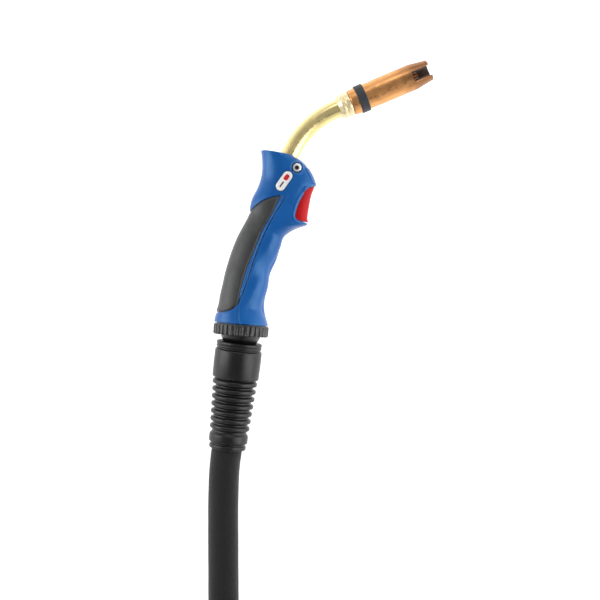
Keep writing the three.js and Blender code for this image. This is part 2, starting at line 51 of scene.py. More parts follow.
# ---- camera
scene = bpy.context.scene
scene.view_settings.view_transform = "Standard"
camera_data = bpy.data.cameras.new("camera")
camera_data.lens = 90
camera_data.sensor_width = 36
camera = bpy.data.objects.new("camera", camera_data)
camera.location = PIVOT + CAMERA_FROM_PIVOT
scene.collection.objects.link(camera)
scene.camera = camera


# ---- node graphs
class Graph:
    """The node tree of a material or of the world, with short ways to add nodes."""

    def __init__(self, owner):
        owner.use_nodes = True
        self.tree = owner.node_tree
        self.coord = self.tree.nodes.new("ShaderNodeTexCoord")
        self.object = self.coord.outputs["Object"]
        self.uv = self.coord.outputs["UV"]

    def put(self, socket, value):
        if isinstance(value, bpy.types.NodeSocket):
            self.tree.links.new(value, socket)
        else:
            socket.default_value = value

    def node(self, kind, sockets=(), out=0, **props):
        made = self.tree.nodes.new(kind)
        for key, value in props.items():
            setattr(made, key, value)
        for key, value in dict(sockets).items():
            self.put(made.inputs[key], value)
        return made.outputs[out]

    def noise(self, scale, detail=3.0, vector=None, distortion=0.0):
        return self.node("ShaderNodeTexNoise", {
            "Vector": vector or self.object, "Scale": scale, "Detail": detail,
            "Distortion": distortion, "Roughness": 0.55})

    def pebbles(self, scale):
        return self.node("ShaderNodeTexVoronoi", {"Vector": self.object, "Scale": scale},
                         feature="SMOOTH_F1")

    def waves(self, scale, direction, vector, distortion):
        return self.node("ShaderNodeTexWave", {
            "Vector": vector, "Scale": scale, "Distortion": distortion, "Detail": 2.0,
            "Detail Scale": 1.5}, out=1, bands_direction=direction)

    def span(self, value, low, high, first=0.0, last=1.0):
        return self.node("ShaderNodeMapRange", {
            "Value": value, "From Min": low, "From Max": high, "To Min": first,
            "To Max": last}, interpolation_type="SMOOTHSTEP")

    def math(self, operation, a, b):
        return self.node("ShaderNodeMath", {0: a, 1: b}, operation=operation)

    def add(self, a, b):
        return self.math("ADD", a, b)

    def times(self, a, b):
        return self.math("MULTIPLY", a, b)

    def mix(self, factor, a, b):
        return self.node("ShaderNodeMix", {0: factor, 6: a, 7: b}, out=2, data_type="RGBA")

    def axis(self, which, vector=None):
        return self.node("ShaderNodeSeparateXYZ", {0: vector or self.object},
                         out="XYZ".index(which))

    def stretched(self, scale, vector=None):
        return self.node("ShaderNodeMapping", {"Vector": vector or self.object, "Scale": scale})

    def edges(self):
        """How convex the mesh is, near 1 on outer edges."""
        return self.span(self.node("ShaderNodeNewGeometry", out=7), 0.505, 0.56)

    def bump(self, height, distance, normal=None, strength=1.0):
        sockets = {"Height": height, "Distance": distance, "Strength": strength}
        if normal is not None:
            sockets["Normal"] = normal
        return self.node("ShaderNodeBump", sockets)

    def finish(self, **sockets):
        """Sets the shader's inputs, named with _ for each space."""
        shader = self.tree.nodes["Principled BSDF"]
        for key, value in sockets.items():
            self.put(shader.inputs[key.replace("_", " ")], value)


MATERIALS = {}


def new_material(name):
    MATERIALS[name] = bpy.data.materials.new(name)
    return Graph(MATERIALS[name])


def rgb(r, g, b):
    """Linear colour from display values of 0 to 255."""
    return tuple((c / 255 / 12.92) if c <= 10 else ((c / 255 + 0.055) / 1.055) ** 2.4
                 for c in (r, g, b)) + (1.0,)


def moulded(name, base, tint, rough, grain=2600, grain_depth=0.00004, edge_wear_and_highlight=None, coat=0.0,
            spec=0.5, groove_shade=None, sheen=(1.0, 1.0, 1.0, 1.0)):
    """Moulded plastic or rubber: slow tone drift, handling marks, fine tool-face grain.
    The edge colour goes on outer edges, part rubbed wear and part painted highlight; the groove
    colour is painted shade in the relief's grooves, and sheen tints the highlights."""
    g = new_material(name)
    drift = g.noise(28, 4.0)
    marks = g.span(g.noise(95, 6.0, distortion=0.6), 0.52, 0.75)
    colour = g.mix(g.span(drift, 0.3, 0.7), base, tint)
    colour = g.mix(g.times(marks, 0.18), colour, tint)
    # Outer edges take the edge colour through ragged noise: part rubbed wear, part painted
    # highlight.
    if edge_wear_and_highlight is not None:
        ragged = g.times(g.edges(), g.span(g.noise(420, 3.0), 0.4, 0.62, 0.0, 0.7))
        colour = g.mix(ragged, colour, edge_wear_and_highlight)
    # Darker in the grooves of the relief: painted shade.
    if groove_shade is not None:
        crease = g.node("ShaderNodeAttribute", out=2, attribute_name="crease")
        colour = g.mix(g.times(crease, 0.85), colour, groove_shade)
    fine = g.noise(grain, 2.0)
    height = g.add(fine, g.times(g.noise(grain / 9, 2.0), 0.8))
    roughness = g.add(g.span(marks, 0.0, 1.0, rough - 0.04, rough + 0.08), g.times(drift, 0.06))
    g.finish(Base_Color=colour, Roughness=roughness, Coat_Weight=coat, Coat_Roughness=0.12,
             Specular_IOR_Level=spec, Specular_Tint=sheen, Normal=g.bump(height, grain_depth))


def metal(name, base, tint, rough, ring_scale=900, ring_depth=0.000012, by_uv=False,
          stain=None, stain_at=None, share=1.0, painted_shade_radius=None):
    """Machined metal: turning marks along the local Z axis (or V), smudges and tarnish.
    share is how metallic it is, and the radius given last is the one within which painted shade
    makes it nearly black."""
    g = new_material(name)
    coords, lengthwise = (g.uv, "Y") if by_uv else (g.object, "Z")
    rings = g.waves(ring_scale, lengthwise, coords, 1.2)
    smudge = g.noise(70, 5.0, distortion=0.8)
    tarnish = g.span(g.noise(34, 6.0, distortion=0.4), 0.42, 0.72)
    colour = g.mix(g.times(tarnish, 0.55), base, tint)
    if stain is not None:
        ragged = g.add(g.axis(lengthwise, coords), g.times(g.noise(160, 3.0), 0.012))
        heat = g.span(ragged, stain_at[0], stain_at[1], 0.0, 0.8)
        colour = g.mix(heat, colour, stain)
    # Nearly black brown and hardly metallic inside the given radius: painted shade in a bore or
    # socket.
    if painted_shade_radius is not None:
        radius = g.node("ShaderNodeVectorMath", {0: g.stretched((1.0, 1.0, 0.0))}, out=1,
                        operation="LENGTH")
        inside = g.span(radius, painted_shade_radius, painted_shade_radius + 0.0002, 1.0, 0.0)
        colour = g.mix(inside, colour, g.mix(smudge, rgb(34, 20, 12), rgb(66, 42, 26)))
        share = g.span(inside, 0.0, 1.0, share, 0.1)
    roughness = g.add(g.span(smudge, 0.35, 0.7, rough - 0.05, rough + 0.09), g.times(rings, 0.05))
    height = g.add(rings, g.times(g.noise(1500), 0.6))
    g.finish(Base_Color=colour, Metallic=share, Roughness=roughness,
             Normal=g.bump(height, ring_depth))


def sleeve_material():
    """Textile hose cover: a diagonal weave over soft creases, paler on the high threads."""
    g = new_material("cable_sleeve")
    weave = g.math("MAXIMUM", *(
        g.waves(330, "DIAGONAL", g.stretched((side, 1.0, 1.0), g.uv), 0.6)
        for side in (1.0, -1.0)))
    creases = g.noise(24, 5.0, g.stretched((1.0, 0.45, 1.0), g.uv), 0.5)
    fuzz = g.noise(1900, 3.0)
    dark, pale = rgb(8, 8, 9), rgb(34, 34, 36)
    colour = g.mix(g.span(creases, 0.32, 0.72), dark, rgb(15, 15, 17))
    colour = g.mix(g.times(g.times(weave, fuzz), 0.55), colour, pale)
    height = g.add(weave, g.times(fuzz, 0.7))
    first = g.bump(creases, 0.0016)
    g.finish(Base_Color=colour, Roughness=g.span(fuzz, 0.2, 0.8, 0.72, 0.95),
             Specular_IOR_Level=0.25, Sheen_Weight=0.25, Sheen_Roughness=0.5,
             Normal=g.bump(height, 0.00018, first))


def inlay_material():
    """Soft overmoulded grip: pebbled matte skin, a little paler where hands have rubbed it."""
    g = new_material("soft_grey")
    pebble = g.pebbles(1150)
    worn = g.span(g.noise(42, 5.0, distortion=0.5), 0.4, 0.75)
    colour = g.mix(worn, rgb(38, 39, 40), rgb(56, 56, 57))
    colour = g.mix(g.span(pebble, 0.2, 0.55, 0.0, 0.5), colour, rgb(34, 35, 36))
    g.finish(Base_Color=colour, Roughness=g.span(worn, 0.0, 1.0, 0.46, 0.62),
             Specular_IOR_Level=0.5, Sheen_Weight=0.12,
             Normal=g.bump(pebble, 0.00012, g.bump(g.noise(190), 0.0002), 0.9))


# Painted light in these colours: the edge colour of the blue shell, red trigger, black plastic,
# black rubber and slate band is a paler painted highlight on outer edges as much as wear, and the
# groove colour of the blue shell is painted shade.
moulded("blue_shell", rgb(10, 74, 142), rgb(18, 84, 152), 0.32, edge_wear_and_highlight=rgb(70, 136, 200),
        groove_shade=rgb(4, 30, 76), sheen=(0.42, 0.74, 1.0, 1.0))
inlay_material()
moulded("badge_white", rgb(232, 232, 230), rgb(214, 214, 212), 0.28, edge_wear_and_highlight=rgb(190, 190, 188),
        coat=0.3)
moulded("red_trigger", rgb(184, 8, 16), rgb(170, 6, 14), 0.42, edge_wear_and_highlight=rgb(226, 120, 122),
        grain_depth=0.00001, spec=0.3, sheen=(1.0, 0.35, 0.35, 1.0))
moulded("black_plastic", rgb(9, 9, 10), rgb(18, 18, 20), 0.32, edge_wear_and_highlight=rgb(120, 120, 122))
moulded("black_rubber", rgb(8, 8, 9), rgb(18, 18, 19), 0.36, grain=1500, grain_depth=0.00006,
        edge_wear_and_highlight=rgb(70, 70, 71), spec=0.35)
sleeve_material()
moulded("slate_band", rgb(34, 38, 44), rgb(48, 52, 58), 0.5, edge_wear_and_highlight=rgb(100, 102, 106), spec=0.4)
moulded("diffuser_white", rgb(205, 196, 178), rgb(176, 160, 132), 0.65, edge_wear_and_highlight=rgb(120, 100, 80))
# The screw's hex socket, within 2 mm of the axis, is painted shade, nearly black.
metal("zinc_steel", rgb(244, 245, 246), rgb(214, 214, 212), 0.3, share=0.6, painted_shade_radius=0.002)
metal("spring_steel", rgb(150, 152, 156), rgb(110, 108, 104), 0.34)
metal("neck_brass", rgb(234, 214, 152), rgb(224, 202, 138), 0.22, 520, 0.000003, True,
      share=0.84)
metal("turned_brass", rgb(232, 218, 176), rgb(216, 196, 144), 0.28, share=0.62)
# Inside the nozzle's bore the copper is painted shade, nearly black; the brown near the tip is heat
# stain.
metal("copper", rgb(220, 160, 102), rgb(184, 118, 66), 0.28, 700, 0.000008,
      stain=rgb(118, 82, 58), stain_at=(0.068, 0.094), share=0.93, painted_shade_radius=0.0103)
# A darker copper than the nozzle's: painted shade for the contact tip deep in the nozzle, and for
# the hidden core tube.
metal("shaded_tip_copper", rgb(126, 82, 56), rgb(88, 58, 42), 0.4)
moulded("badge_red", rgb(196, 30, 38), rgb(178, 22, 30), 0.3, coat=0.3)
moulded("badge_dark", rgb(52, 56, 66), rgb(66, 70, 80), 0.4)


# ---- mesh building
def unit(vector):
    vector = np.asarray(vector, float)
    return vector / np.linalg.norm(vector)


def smoothstep(value):
    value = np.clip(value, 0.0, 1.0)
    return value * value * (3 - 2 * value)


def circle(sides):
    return np.linspace(0, math.tau, sides, endpoint=False)


def rotation(angle):
    """Turns rows of 2-D points anticlockwise when they are multiplied by it."""
    c, s = np.cos(angle), np.sin(angle)
    return np.array([[c, s], [-s, c]])


def lengths_along(line):
    return np.concatenate([[0], np.cumsum(np.linalg.norm(np.diff(line, axis=0), axis=1))])


def new_mesh(name, points, faces):
    mesh = bpy.data.meshes.new(name)
    mesh.from_pydata([tuple(p) for p in points], [], faces)
    mesh.update()
    made = bpy.data.objects.new(name, mesh)
    scene.collection.objects.link(made)
    return made


def skin(name, rings, loop=False, lengths=None):
    """Quads through rings of equal count; loop joins the last ring to the first, otherwise
    each end closes with a fan. lengths gives a UV map: around in metres, along in metres."""
    rings = np.asarray(rings, float)
    count, sides = rings.shape[:2]
    index = np.arange(count * sides).reshape(count, sides)
    rows = np.arange(count if loop else count - 1)
    here, there = index[rows], index[(rows + 1) % count]
    quads = np.stack([here, np.roll(here, -1, 1), np.roll(there, -1, 1), there], -1)
    faces = quads.reshape(-1, 4).tolist()
    points = rings.reshape(-1, 3)
    if not loop:
        points = np.vstack([points, rings[0].mean(0), rings[-1].mean(0)])
        low, high = count * sides, count * sides + 1
        for k in range(sides):
            after = (k + 1) % sides
            faces.append([low, index[0][after], index[0][k]])
            faces.append([high, index[-1][k], index[-1][after]])
    made = facing_out(new_mesh(name, points, faces))
    if lengths is not None:
        layer = made.data.uv_layers.new(name="along")
        around = np.linalg.norm(np.diff(rings[0], axis=0), axis=1).sum() * sides / (sides - 1)
        corner = np.zeros((len(made.data.loops), 2))
        for polygon in made.data.polygons[:(count - 1) * sides]:
            column = polygon.index % sides
            for at in polygon.loop_indices:
                vertex = made.data.loops[at].vertex_index
                k = vertex % sides
                k = sides if (column == sides - 1 and k == 0) else k
                corner[at] = (around * k / sides, lengths[vertex // sides])
        layer.data.foreach_set("uv", corner.ravel())
    return made


def facing_out(piece):
    """Turns the faces round if the volume that they enclose is negative."""
    mesh = piece.data
    mesh.calc_loop_triangles()
    co = np.zeros(len(mesh.vertices) * 3)
    mesh.vertices.foreach_get("co", co)
    tri = np.zeros(len(mesh.loop_triangles) * 3, int)
    mesh.loop_triangles.foreach_get("vertices", tri)
    a, b, c = co.reshape(-1, 3)[tri.reshape(-1, 3)].transpose(1, 0, 2)
    if (a * np.cross(b, c)).sum() < 0:
        mesh.flip_normals()
    return piece


def rounded(profile, radius, steps=4):
    """Each corner of a 2-D outline becomes a short curve, no longer than the sides allow."""
    points = np.array(profile, float)
    out = []
    for i, p in enumerate(points):
        a, b = points[i - 1] - p, points[(i + 1) % len(points)] - p
        la, lb = np.linalg.norm(a), np.linalg.norm(b)
        if abs(a[0] * b[1] - a[1] * b[0]) < 1e-3 * la * lb:
            out.append(p)
            continue
        start, end = p + a / la * min(radius, 0.46 * la), p + b / lb * min(radius, 0.46 * lb)
        for t in np.linspace(0, 1, steps + 1):
            out.append((1 - t) ** 2 * start + 2 * t * (1 - t) * p + t ** 2 * end)
    return np.array(out)


def frame_matrix(origin, axis):
    """Local Z along axis, local X upwards if the axis isn't upright; origin in metres."""
    z = unit(axis)
    side = np.array((1, 0, 0) if abs(z[2]) > 0.99 else UP, float)
    x = unit(side - np.dot(side, z) * z)
    y = np.cross(z, x)
    return Matrix([[x[0], y[0], z[0], origin[0]], [x[1], y[1], z[1], origin[1]],
                   [x[2], y[2], z[2], origin[2]], [0, 0, 0, 1]])


def turned(name, profile, origin, axis, sides=96, fillet=0.4, ripple=None):
    """A closed [radius, height] outline in mm turned about an axis. ripple(angle, height,
    radius) gives a change of radius in mm."""
    outline = rounded(profile, fillet)
    angle = circle(sides)
    radius, height = outline[:, :1], outline[:, 1:2]
    radius = radius + (ripple(angle, height, radius) if ripple else 0 * angle)
    rings = np.stack([radius * np.cos(angle), radius * np.sin(angle), height + 0 * angle], -1)
    made = skin(name, rings * MM, loop=True)
    made.matrix_world = frame_matrix(origin, axis)
    bpy.context.view_layer.update()
    return made


def rod(name, radius, low, high, origin, axis, sides=48):
    angle = circle(sides)
    rings = [np.stack([radius * np.cos(angle), radius * np.sin(angle), h + 0 * angle], -1)
             for h in (low, high)]
    made = skin(name, np.array(rings) * MM)
    made.matrix_world = frame_matrix(origin, axis)
    return made


def prism(name, outline, low, high):
    """An outline in the handle's plane, in mm, pushed from one height to another."""
    outline = np.array(outline, float)
    rings = [np.column_stack([outline, np.full(len(outline), h)]) for h in (low, high)]
    count = len(outline)
    points = place(np.vstack(rings))
    faces = [[k, (k + 1) % count, count + (k + 1) % count, count + k] for k in range(count)]
    faces += [list(range(count))[::-1], list(range(count, 2 * count))]
    return facing_out(new_mesh(name, points, faces))


def place(points):
    """Handle coordinates in mm, from the ball joint's centre, to metres."""
    return PIVOT + np.asarray(points, float) * MM


def ball(name, radius, sides=64):
    """A closed sphere about the ball joint's centre, as rings from pole to pole."""
    polar = np.linspace(0.02, math.pi - 0.02, sides // 2)
    angle = circle(sides)
    rings = [np.stack([radius * math.sin(p) * np.cos(angle), radius * math.sin(p) * np.sin(angle),
                       radius * math.cos(p) + 0 * angle], -1) for p in polar]
    return skin(name, place(rings))


def boolean(target, operation, *cutters):
    """Cuts, joins or intersects in turn, and removes the cutters."""
    for cutter in cutters:
        step = target.modifiers.new("step", "BOOLEAN")
        step.operation = operation
        step.solver = "MANIFOLD"
        step.object = cutter
        bpy.context.view_layer.update()
        graph = bpy.context.evaluated_depsgraph_get()
        made = bpy.data.meshes.new_from_object(target.evaluated_get(graph))
        if not len(made.polygons):
            raise RuntimeError(f"{target.name} {operation} {cutter.name} left nothing")
        target.modifiers.clear()
        old, target.data = target.data, made
        bpy.data.meshes.remove(old)
        bpy.data.objects.remove(cutter)
    return target


def copy_of(source, name):
    made = source.copy()
    made.data = source.data.copy()
    made.name = name
    scene.collection.objects.link(made)
    return made


def finished(piece, material, body, nodes=(), sharp=38):
    """Smooth shading, material, body, and the CAD nodes that the piece stands for."""
    piece.data.materials.clear()
    piece.data.materials.append(MATERIALS[material])
    piece.data.polygons.foreach_set("material_index", [0] * len(piece.data.polygons))
    piece.data.shade_smooth()
    piece.data.set_sharp_from_angle(angle=math.radians(sharp))
    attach(piece, body)
    if nodes:
        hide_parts(*nodes)
    return piece


def spline(points, per):
    """Uniform Catmull-Rom curve through 2-D or 3-D points."""
    p = np.array(points, float)
    p = np.vstack([2 * p[0] - p[1], p, 2 * p[-1] - p[-2]])
    out = []
    for i in range(1, len(p) - 2):
        for t in np.linspace(0, 1, per, endpoint=False):
            out.append(0.5 * (2 * p[i] + (p[i + 1] - p[i - 1]) * t
                              + (2 * p[i - 1] - 5 * p[i] + 4 * p[i + 1] - p[i + 2]) * t ** 2
                              + (3 * p[i] - p[i - 1] - 3 * p[i + 1] + p[i + 2]) * t ** 3))
    out.append(p[-2])
    return np.array(out)


def segment_distance(points, line):
    """Distance of 2-D points from a polyline."""
    best = np.full(len(points), 1e9)
    for a, b in zip(line[:-1], line[1:]):
        d = b - a
        t = np.clip(((points - a) @ d) / max(d @ d, 1e-12), 0, 1)
        best = np.minimum(best, np.hypot(*(points - a - t[:, None] * d).T))
    return best


def signed_distance(points, outline):
    """Distance of 2-D points from a closed outline, negative inside."""
    closed = np.vstack([outline, outline[:1]])
    inside = np.zeros(len(points), bool)
    x, y = points.T
    for (ax, ay), (bx, by) in zip(closed[:-1], closed[1:]):
        if ay == by:
            continue
        crosses = (ay > y) != (by > y)
        inside ^= crosses & (x < (bx - ax) * (y - ay) / (by - ay) + ax)
    distance = segment_distance(points, closed)
    return np.where(inside, -distance, distance)


def grown(outline, distance):
    """An anticlockwise outline moved outwards."""
    out = []
    for i, (x, y) in enumerate(outline):
        px, py = outline[i - 1]
        nx, ny = outline[(i + 1) % len(outline)]
        a, b = unit([y - py, px - x]), unit([ny - y, x - nx])
        out.append(np.array([x, y]) + unit(a + b) * distance)
    return np.array(out)


# ---- hose and its coil
LEAN, DROP = math.radians(6.8), math.radians(4.1)
HOSE_DOWN = np.array([-math.sin(LEAN) * math.cos(DROP), -math.cos(LEAN) * math.cos(DROP),
                      -math.sin(DROP)])
HOSE_R = 15.5
COIL = np.array([68.0, -543.0])
INNER, OUTER, FLOOR = 139.5, 170.5, 17.2
MIDDLE = (INNER + OUTER) / 2
TOUCH = 31.3
# The straight beside the coil: its height, its x and how far it drifts, and its climb.
BENCH_Z = 15.7
SIDE_X, SIDE_SHIFT, SIDE_RUN = -98, 11, 205
CLIMB_FROM, CLIMB_RUN, CLIMB = -338, 134, 32.9
# Degrees that a crossing takes, and how far the inner turn stands in from its radius.
CROSSING = 150
EASE = 0.3
EXIT = math.radians(3)
LEAVING = np.array([-math.sin(EXIT), math.cos(EXIT), 0.0])
PLUG_Z = 22.8
TAIL_START = np.array([*(COIL + OUTER * np.array([math.cos(EXIT), math.sin(EXIT)])), FLOOR])
TAIL = 66
PLUG = TAIL_START + TAIL * LEAVING + np.array([0, 0, PLUG_Z - FLOOR])


def on_hose(t):
    return PIVOT / MM + HOSE_DOWN * t


def on_plug(p):
    return PLUG + LEAVING * p


def over(across):
    """Height of a strand lying on another whose centre is that far to the side."""
    return FLOOR + math.sqrt(max(TOUCH ** 2 - across ** 2, 0.0))


def coil_point(degrees, radius, z):
    a = math.radians(degrees)
    return [COIL[0] + radius * math.cos(a), COIL[1] + radius * math.sin(a), z]


def gently(t):
    """A step from 0 to 1 that neither starts nor stops its curve at once."""
    t = min(max(t, 0.0), 1.0)
    return t ** 3 * (10 - 15 * t + 6 * t * t)


def beside_coil(y):
    return SIDE_X + SIDE_SHIFT * float(smoothstep((CLIMB_FROM - y) / SIDE_RUN))


def hose_route():
    """Out of the bend relief, along the bench, over the outer turn, round the coil, to the
    plug."""
    points = [on_hose(t) for t in (97, 108, 120)]
    points += [[-97.2, -216, 17], [-98, -245, 15.9], [-98.4, -290, BENCH_Z],
               [SIDE_X, -325, BENCH_Z]]
    for y in np.arange(CLIMB_FROM, -475, -12):
        t = (CLIMB_FROM - y) / CLIMB_RUN
        lift = 2 * t ** 2 if t < 0.5 else 1 - 2 * max(1 - t, 0) ** 2
        points.append([beside_coil(y), y, BENCH_Z + CLIMB * lift])
    for y in (-486, -500, -515, -530):
        x = beside_coil(y)
        points.append([x, y, over(math.hypot(x - COIL[0], y - COIL[1]) - OUTER)])
    for a in range(180, 375, 7):
        points.append(coil_point(a, MIDDLE, over(MIDDLE - INNER)))
    start = math.acos((MIDDLE - INNER) / TOUCH)
    for a in range(376, 525, 6):
        part = gently((a - 375) / CROSSING)
        roll = start + (math.pi - start) * part
        under = INNER + (OUTER - INNER) * part
        points.append(coil_point(a, under + TOUCH * math.cos(roll),
                                 FLOOR + TOUCH * math.sin(roll)))
    for a in range(527, 732, 9):
        points.append(coil_point(a, INNER - EASE, FLOOR))
    for a in range(735, 885, 6):
        part = gently((a - 735) / CROSSING)
        points.append(coil_point(a, INNER - EASE + (OUTER - INNER + EASE) * part, FLOOR))
    for a in range(887, 1083, 9):
        points.append(coil_point(a, OUTER, FLOOR))
    for s in range(0, TAIL + 1, 11):
        points.append(TAIL_START + s * LEAVING
                      + np.array([0, 0, (PLUG_Z - FLOOR) * gently((s - 6) / 58)]))
    points += [on_plug(p) for p in (12, 25, 37.7)]
    return np.array(points)


def tube_rings(line, radius, sides, swell):
    """Rings square to a line, with a frame that doesn't twist. swell(i, angle) gives a
    change of radius for ring i."""
    ahead = np.gradient(line, axis=0)
    ahead /= np.linalg.norm(ahead, axis=1)[:, None]
    side = unit(np.cross(ahead[0], UP))
    angle = circle(sides)
    rings = []
    for i, (centre, forward) in enumerate(zip(line, ahead)):
        side = unit(side - np.dot(side, forward) * forward)
        above = np.cross(side, forward)
        r = (radius + swell(i, angle))[:, None]
        rings.append(centre + r * (np.cos(angle)[:, None] * side + np.sin(angle)[:, None] * above))
    return np.array(rings)


HOSE_RINGS = 900
hose_line = spline(hose_route(), 3)
hose_length = lengths_along(hose_line)
even = np.linspace(0, hose_length[-1], HOSE_RINGS)
hose_line = np.column_stack([np.interp(even, hose_length, hose_line[:, k]) for k in range(3)])


def sleeve_swell(i, angle):
    """Slack in the cover: shallow dents that run along the hose and round it."""
    s = even[i]
    bend = np.sin(s / 31 + 2 * np.sin(s / 83) + angle) * np.sin(s / 19 - 2 * angle)
    fold = np.sin(s / 11.5 + 3 * np.sin(angle + s / 140)) * np.sin(2 * angle + s / 47)
    return -0.25 + 0.26 * bend + 0.16 * fold


hose = skin("hose_sleeve", tube_rings(hose_line, HOSE_R, 48, sleeve_swell) * MM,
            lengths=even * MM)
finished(hose, "cable_sleeve", "hose_pack", ("hose_run", "hose_coil", "hose_tail"), 60)


# ---- connector plug
def fluted(count, depth, low, high, sharpness=3.0, inner=0.0):
    """Ribs round an outline between two heights, fading out over a millimetre."""
    def ripple(angle, height, radius):
        wave = 0.5 - 0.5 * np.tanh(sharpness * np.sin(count * angle)) / math.tanh(sharpness)
        fade = smoothstep((height - low) / 0.9) * smoothstep((high - height) / 0.9)
        return -depth * wave * fade * (radius > inner)
    return ripple


def on_plug_axis(name, profile, **options):
    return turned(name, profile, PLUG * MM, LEAVING, **options)


def plug_part(name, material, node, profile, body="hose_pack", **options):
    finished(on_plug_axis(name, profile, **options), material, body, [node])


steps = [[16.4, 0], [17.8, 0]]
for k in range(6):
    p = 3 + 5.6 * k
    steps += [[18.0 + 0.36 * k, p], [18.0 + 0.36 * k, p + 3.4], [17.0 + 0.4 * k, p + 3.9],
              [17.1 + 0.4 * k, p + 5.2]]
steps += [[20.2, 37], [20.2, 38], [16.4, 38]]
plug_part("connector_relief", "black_rubber", "plug_relief", steps, fillet=0.7)
plug_part("connector_housing", "black_plastic", "plug_housing", [
    [4, 38.3], [21, 38.3], [21.4, 42], [20.4, 48], [20.4, 58], [21.6, 66], [21.6, 70], [4, 70],
], fillet=1.0, sides=192, ripple=fluted(18, 1.1, 43, 65, 1.2, 18))
plug_part("connector_nut", "black_plastic", "plug_nut", [
    [16.3, 70.6], [21.4, 70.6], [22.5, 72], [22.5, 90.6], [21.8, 92], [19, 92], [19, 74],
    [16.3, 74],
], "connector_nut", fillet=0.5, sides=288, ripple=fluted(24, 1.0, 73, 89.5, 2.0, 21))
plug_part("connector_block", "turned_brass", "plug_block", [
    [2.5, 70.3], [9, 70.3], [9, 84], [8.6, 84.4], [8.6, 86], [9, 86.4], [9, 98], [7.4, 100],
    [2.5, 100],
])
plug_part("connector_gas_nipple", "turned_brass", "plug_gas_nipple", [
    [1.6, 100.3], [5.2, 100.3], [5.2, 106], [4.2, 106.6], [4.2, 108.4], [5.2, 109], [5, 112],
    [3.6, 116], [1.6, 116],
], fillet=0.3, sides=64)
plug_part("connector_o_ring", "black_rubber", "plug_o_ring", [
    [4.4, 106.7], [5.6, 106.7], [5.6, 108.3], [4.4, 108.3],
], fillet=0.6, sides=64)
insulator = on_plug_axis("connector_insulator", [
    [9.3, 70.3], [15.9, 70.3], [15.9, 74.4], [18.6, 74.4], [18.6, 78], [15.7, 78], [15.7, 86],
    [9.3, 86],
])
PIN_OFFSET = 12.4
for side, body, node in ((-1, "pin_a", "plug_pin_1"), (1, "pin_b", "plug_pin_2")):
    at = (PLUG + np.array([0, 0, side * PIN_OFFSET])) * MM
    boolean(insulator, "DIFFERENCE", rod("pin_room", 2.3, 70, 90, at, LEAVING, 32))
    finished(turned(f"connector_{body}", [
        [0.05, 75], [2, 75], [2, 91.4], [1.5, 92], [1.5, 93], [0.9, 94], [0.05, 94],
    ], at, LEAVING, 32, 0.3), "turned_brass", body, [node])
finished(insulator, "black_plastic", "hose_pack", ["plug_insulator"])


# ---- coil ties
def coil_tie(number, degrees):
    """A hook-and-loop strap drawn tight round the three strands, its end lapped on top."""
    strands = np.array([[INNER, FLOOR], [OUTER, FLOOR], [MIDDLE, over(MIDDLE - INNER)]])
    angle = circle(180)
    facing = np.stack([np.cos(angle), np.sin(angle)], -1)
    nearest = strands[(facing @ strands.T).argmax(1)]
    lap = smoothstep((angle - 0.9) / 0.03) * smoothstep((2.5 - angle) / 0.03)
    shell = [(-10, 15.62), (-9.6, 16.7), (-9, 17.0), (9, 17.0), (9.6, 16.7), (10, 15.62)]
    rings = []
    for across, reach in shell:
        outside = (reach > 16) * lap * 1.3
        flat = nearest + facing * (reach + outside)[:, None]
        turn = math.radians(degrees) + across / MIDDLE
        outwards = np.array([math.cos(turn), math.sin(turn)])
        rings.append(np.column_stack([COIL + flat[:, :1] * outwards, flat[:, 1]]))
    made = skin(f"coil_strap_{number}", np.array(rings) * MM, loop=True)
    finished(made, "black_rubber", "hose_pack", [f"coil_tie_{number}"], 50)


for number, degrees in ((1, 215), (2, 325)):
    coil_tie(number, degrees)

# ---- handle form
# x and y of the back edge and of the front edge, half thickness and squareness of each section.
STATIONS = np.array([
    [-27.0, 8.6, 27.2, 4.2, 26.6, 2.0], [-24.6, 18, 24.0, 16, 24.2, 2.1],
    [-22.2, 26, 23.1, 25, 22.4, 2.15], [-20.4, 36, 25.0, 36, 21.2, 2.2],
    [-18.1, 46, 27.3, 46, 20.6, 2.3], [-15.4, 58, 29.4, 57, 20.2, 2.3],
    [-11.9, 70, 35.3, 70, 20.0, 2.3], [-7.8, 82, 39.0, 82, 19.8, 2.3],
    [-3.0, 93.5, 43.0, 93, 19.6, 2.3], [1.0, 101, 54.0, 100.6, 19.6, 2.35],
    [4.0, 106.5, 66.3, 105.4, 19.6, 2.4], [8.2, 115, 66.9, 113, 19.6, 2.4],
    [9.2, 124, 68.6, 124, 19.6, 2.4], [11.4, 132, 70.6, 134, 19.6, 2.4],
    [16.6, 142, 74.0, 143, 19.6, 2.5], [19.4, 150, 74.4, 146.6, 19.6, 2.5],
    [21.0, 158, 70.6, 156, 19.5, 2.5], [21.2, 166, 64.6, 165, 19.2, 2.5],
    [20.7, 173, 59.0, 170, 18.8, 2.5], [20.0, 178.6, 54.0, 172.4, 18.4, 2.5],
])
LAST = len(STATIONS) - 1


def station(at):
    """A row of STATIONS for any number between them."""
    i = min(int(at), LAST - 1)
    a, b, c, d = (STATIONS[min(max(k, 0), LAST)] for k in (i - 1, i, i + 1, i + 2))
    t = at - i
    slope, after = 0.5 * (c - a), 0.5 * (d - b)
    return ((2 * t ** 3 - 3 * t ** 2 + 1) * b + (t ** 3 - 2 * t ** 2 + t) * slope
            + (3 * t ** 2 - 2 * t ** 3) * c + (t ** 3 - t ** 2) * after)


